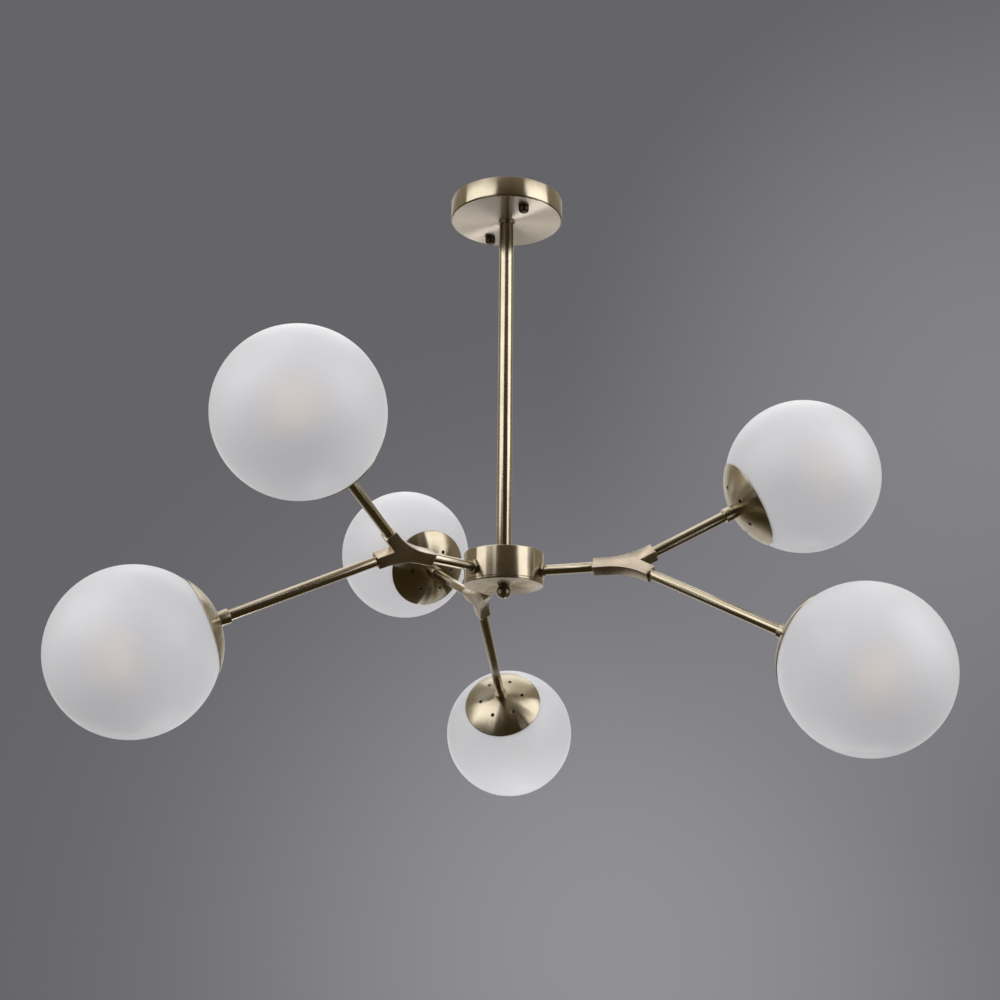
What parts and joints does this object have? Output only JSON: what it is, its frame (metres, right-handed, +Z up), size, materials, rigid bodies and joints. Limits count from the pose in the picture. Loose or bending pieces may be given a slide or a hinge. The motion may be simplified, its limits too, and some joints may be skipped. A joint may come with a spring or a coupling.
{
  "type": "pendant light",
  "caption": "Branched pendant light: rigid rod from a round canopy to a drum hub, forked arms that turn, vented cups and frosted glass globes that screw off.",
  "frame": {"origin": "centre of the ceiling bracket's top face, in the ceiling plane, on the rod's axis", "axes": "+Z up into the ceiling, +Y along the ceiling bracket, away from the viewer"},
  "size_m": [0.7552, 0.7619, 0.6024],
  "materials": {
    "antique_brass": "satin, brushed",
    "dark_bronze": "satin, darkened",
    "zinc_steel": "zinc plated",
    "block_plastic": "moulded",
    "holder_plastic": "moulded",
    "bulb_plastic": "satin dome",
    "frosted_glass": "frosted, satin white",
    "silicone": "soft clear"
  },
  "bodies": {
    "frame": {"ceiling_bracket": "zinc_steel", "bracket_studs": "zinc_steel", "canopy": "antique_brass", "canopy_cap_nuts": "dark_bronze", "canopy_collar": "antique_brass", "rod_nuts": "zinc_steel", "lamp_pipe": "zinc_steel", "down_rod": "antique_brass", "hub_drum": "antique_brass", "hub_cover": "antique_brass", "finial": "antique_brass", "terminal_block": "block_plastic", "hub_connector": "block_plastic", "hub_arm_nuts": "antique_brass", "right_hub_arm": "antique_brass", "left_hub_arm": "antique_brass", "rear_hub_arm": "antique_brass"},
    "right_upper_seal": {"right_upper_seal": "silicone"},
    "right_upper_globe": {"right_upper_globe": "frosted_glass"},
    "right_lower_seal": {"right_lower_seal": "silicone"},
    "right_lower_globe": {"right_lower_globe": "frosted_glass"},
    "right_branch": {"right_fork": "antique_brass", "right_cup_collars": "antique_brass", "right_upper_arm": "antique_brass", "right_upper_cup": "antique_brass", "right_upper_lampholder": "holder_plastic", "right_upper_bulb": "bulb_plastic", "right_lower_arm": "antique_brass", "right_lower_cup": "antique_brass", "right_lower_lampholder": "holder_plastic", "right_lower_bulb": "bulb_plastic"},
    "left_upper_seal": {"left_upper_seal": "silicone"},
    "left_upper_globe": {"left_upper_globe": "frosted_glass"},
    "left_lower_seal": {"left_lower_seal": "silicone"},
    "left_lower_globe": {"left_lower_globe": "frosted_glass"},
    "left_branch": {"left_fork": "antique_brass", "left_cup_collars": "antique_brass", "left_upper_arm": "antique_brass", "left_upper_cup": "antique_brass", "left_upper_lampholder": "holder_plastic", "left_upper_bulb": "bulb_plastic", "left_lower_arm": "antique_brass", "left_lower_cup": "antique_brass", "left_lower_lampholder": "holder_plastic", "left_lower_bulb": "bulb_plastic"},
    "rear_upper_seal": {"rear_upper_seal": "silicone"},
    "rear_upper_globe": {"rear_upper_globe": "frosted_glass"},
    "rear_lower_seal": {"rear_lower_seal": "silicone"},
    "rear_lower_globe": {"rear_lower_globe": "frosted_glass"},
    "rear_branch": {"rear_fork": "antique_brass", "rear_cup_collars": "antique_brass", "rear_upper_arm": "antique_brass", "rear_upper_cup": "antique_brass", "rear_upper_lampholder": "holder_plastic", "rear_upper_bulb": "bulb_plastic", "rear_lower_arm": "antique_brass", "rear_lower_cup": "antique_brass", "rear_lower_lampholder": "holder_plastic", "rear_lower_bulb": "bulb_plastic"}
  },
  "joints": [
    {"name": "right_branch_twist", "type": "hinge", "parent": "frame", "child": "right_branch", "pos_m": [0.09254, -0.08843, -0.4055], "axis": [0.723, -0.6909, 0], "range_deg": [-90, 90]},
    {"name": "right_upper_globe_lift", "type": "slide", "parent": "right_branch", "child": "right_upper_seal", "axis": [0.7953, -0.3885, 0.4653], "range_m": [0, 0.006]},
    {"name": "right_upper_globe_turn", "type": "hinge", "parent": "right_upper_seal", "child": "right_upper_globe", "pos_m": [0.24604, -0.16341, -0.31569], "axis": [0.7953, -0.3885, 0.4653], "range_deg": [0, 540]},
    {"name": "right_lower_globe_lift", "type": "slide", "parent": "right_branch", "child": "right_lower_seal", "axis": [0.4241, -0.7769, -0.4653], "range_m": [0, 0.006]},
    {"name": "right_lower_globe_turn", "type": "hinge", "parent": "right_lower_seal", "child": "right_lower_globe", "pos_m": [0.20366, -0.29198, -0.52741], "axis": [0.4241, -0.7769, -0.4653], "range_deg": [0, 540]},
    {"name": "left_branch_twist", "type": "hinge", "parent": "frame", "child": "left_branch", "pos_m": [-0.12286, -0.03592, -0.4055], "axis": [-0.9598, -0.2807, 0], "range_deg": [-90, 90]},
    {"name": "left_upper_globe_lift", "type": "slide", "parent": "left_branch", "child": "left_upper_seal", "axis": [-0.7166, -0.5542, 0.4234], "range_m": [0, 0.006]},
    {"name": "left_upper_globe_turn", "type": "hinge", "parent": "left_upper_seal", "child": "left_upper_globe", "pos_m": [-0.26117, -0.14289, -0.32378], "axis": [-0.7166, -0.5542, 0.4234], "range_deg": [0, 540]},
    {"name": "left_lower_globe_lift", "type": "slide", "parent": "left_branch", "child": "left_lower_seal", "axis": [-0.9023, 0.0808, -0.4234], "range_m": [0, 0.006]},
    {"name": "left_lower_globe_turn", "type": "hinge", "parent": "left_lower_seal", "child": "left_lower_globe", "pos_m": [-0.35927, -0.01476, -0.51643], "axis": [-0.9023, 0.0808, -0.4234], "range_deg": [0, 540]},
    {"name": "rear_branch_twist", "type": "hinge", "parent": "frame", "child": "rear_branch", "pos_m": [0.03032, 0.12436, -0.4055], "axis": [0.2368, 0.9715, 0], "range_deg": [-90, 90]},
    {"name": "rear_upper_globe_lift", "type": "slide", "parent": "rear_branch", "child": "rear_upper_seal", "axis": [-0.0997, 0.8924, 0.4401], "range_m": [0, 0.006]},
    {"name": "rear_upper_globe_turn", "type": "hinge", "parent": "rear_upper_seal", "child": "rear_upper_globe", "pos_m": [0.01108, 0.29659, -0.32055], "axis": [-0.0997, 0.8924, 0.4401], "range_deg": [0, 540]},
    {"name": "rear_lower_globe_lift", "type": "slide", "parent": "rear_branch", "child": "rear_lower_seal", "axis": [0.4992, 0.7464, -0.4401], "range_m": [0, 0.006]},
    {"name": "rear_lower_globe_turn", "type": "hinge", "parent": "rear_lower_seal", "child": "rear_lower_globe", "pos_m": [0.1611, 0.31992, -0.52081], "axis": [0.4992, 0.7464, -0.4401], "range_deg": [0, 540]}
  ],
  "couplings": [
    {"joint": "right_upper_globe_lift", "follows": "right_upper_globe_turn", "m_per_rad": 0.00063662},
    {"joint": "right_lower_globe_lift", "follows": "right_lower_globe_turn", "m_per_rad": 0.00063662},
    {"joint": "left_upper_globe_lift", "follows": "left_upper_globe_turn", "m_per_rad": 0.00063662},
    {"joint": "left_lower_globe_lift", "follows": "left_lower_globe_turn", "m_per_rad": 0.00063662},
    {"joint": "rear_upper_globe_lift", "follows": "rear_upper_globe_turn", "m_per_rad": 0.00063662},
    {"joint": "rear_lower_globe_lift", "follows": "rear_lower_globe_turn", "m_per_rad": 0.00063662}
  ]
}
